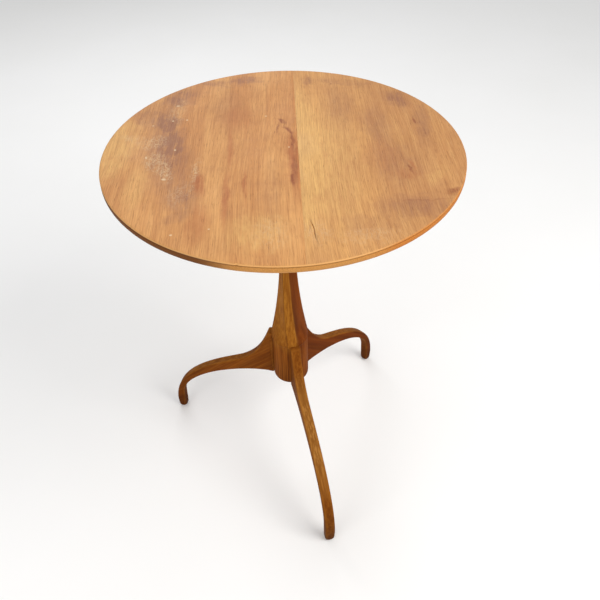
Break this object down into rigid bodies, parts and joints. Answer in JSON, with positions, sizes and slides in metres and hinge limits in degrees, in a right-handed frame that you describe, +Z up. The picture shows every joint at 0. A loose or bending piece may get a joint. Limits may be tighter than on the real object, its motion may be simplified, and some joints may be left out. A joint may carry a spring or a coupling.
{
  "type": "tilt top table",
  "caption": "Round wooden tilt top table: thin top hinged on a block, flared faceted column and S-curved dovetailed legs with turned-down feet.",
  "frame": {"origin": "On the floor under the middle of the round top, which is also the column's axis.", "axes": "+Z up. The top's grain, its glued joint and the tilt axis run along Y. +X is the side that goes down when the top is tilted upright; the catch is on the -X side."},
  "size_m": [0.56, 0.56, 0.7],
  "materials": {
    "top_wood_left": "old waxed cherry, rubbed and lightly scratched",
    "top_wood_right": "old waxed cherry, honey coloured by the joint and browner to the right",
    "batten_wood": "planed cherry, dull wax",
    "wedge_wood": "pale split wood, unfinished",
    "column_wood": "waxed cherry with a soft sheen",
    "leg_wood": "waxed cherry, darker in the hollows, rubbed on the edges",
    "brass": "old brass, brushed and tarnished",
    "brass_screw": "tarnished brass",
    "steel_screw": "dull old steel"
  },
  "bodies": {
    "base": {"pivot_block": "batten_wood", "tenon_wedge": "wedge_wood", "column": "column_wood", "leg_front": "leg_wood", "leg_left": "leg_wood", "leg_right": "leg_wood", "strike_plate": "brass", "strike_screws": "brass_screw"},
    "top": {"top_board_left": "top_wood_left", "top_board_right": "top_wood_right", "batten_front": "batten_wood", "batten_back": "batten_wood", "batten_screws": "steel_screw", "catch_plate": "brass", "catch_screws": "brass_screw"},
    "bolt": {"catch_bolt": "brass", "catch_knob": "brass"}
  },
  "joints": [
    {"name": "top_tilt", "type": "hinge", "parent": "base", "child": "top", "pos_m": [0.035, 0, 0.667], "axis": [0, 1, 0], "range_deg": [0, 90]},
    {"name": "bolt_slide", "type": "slide", "parent": "top", "child": "bolt", "axis": [1, 0, 0], "range_m": [0, 0.012]}
  ]
}
